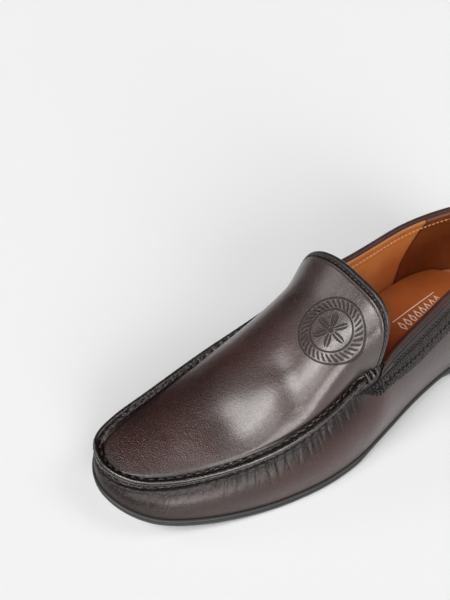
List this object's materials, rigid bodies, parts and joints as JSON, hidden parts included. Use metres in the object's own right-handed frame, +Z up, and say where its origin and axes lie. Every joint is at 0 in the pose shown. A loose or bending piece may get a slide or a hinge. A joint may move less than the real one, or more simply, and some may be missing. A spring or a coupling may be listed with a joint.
{
  "type": "moccasin loafer",
  "caption": "Man's slip-on moc-toe moccasin, left shoe: one-piece leather wall, raised hand-sewn apron seam, punched collar band, tan leather lining and a thin rubber sole.",
  "frame": {"origin": "middle of the shoe's bounding box, on the ground under the sole", "axes": "+X to the toe, +Y to the outer (lateral) side, +Z up"},
  "size_m": [0.2982, 0.1084, 0.1011],
  "materials": {
    "upper_leather": "burnished dark brown calf, soft gloss",
    "edge_leather": "near-black brown, darkened edge",
    "lining_leather": "smooth tan lining leather",
    "rubber_sole": "satin black rubber",
    "cork_filler": "granulated cork",
    "insole_board": "cellulose fibre board",
    "stiffener": "heat-formed sheet",
    "padding": "soft foam sheet",
    "steel_shank": "spring steel strip",
    "dark_thread": "waxed thread",
    "tan_thread": "waxed thread"
  },
  "bodies": {
    "root": {"outsole": "rubber_sole", "welt_rand": "rubber_sole", "bottom_filler": "cork_filler", "shank": "steel_shank", "insole_board": "insole_board", "footbed_foam": "padding", "sock_liner": "lining_leather", "wall_upper": "upper_leather", "apron_plug": "upper_leather", "collar_overlay_lateral": "edge_leather", "collar_overlay_medial": "edge_leather", "heel_backstay": "edge_leather", "topline_binding": "edge_leather", "heel_counter": "stiffener", "toe_puff": "stiffener", "collar_foam_lateral": "padding", "collar_foam_medial": "padding", "heel_lining": "lining_leather", "quarter_lining_lateral": "lining_leather", "quarter_lining_medial": "lining_leather", "vamp_lining": "lining_leather", "apron_lining": "lining_leather", "moc_seam_thread_outer": "dark_thread", "moc_seam_thread_inner": "dark_thread", "bar_tack_lateral": "dark_thread", "bar_tack_medial": "dark_thread", "throat_thread": "dark_thread", "collar_thread_lateral": "dark_thread", "collar_thread_medial": "dark_thread", "lining_thread_lateral": "tan_thread", "lining_thread_medial": "tan_thread"}
  },
  "joints": []
}
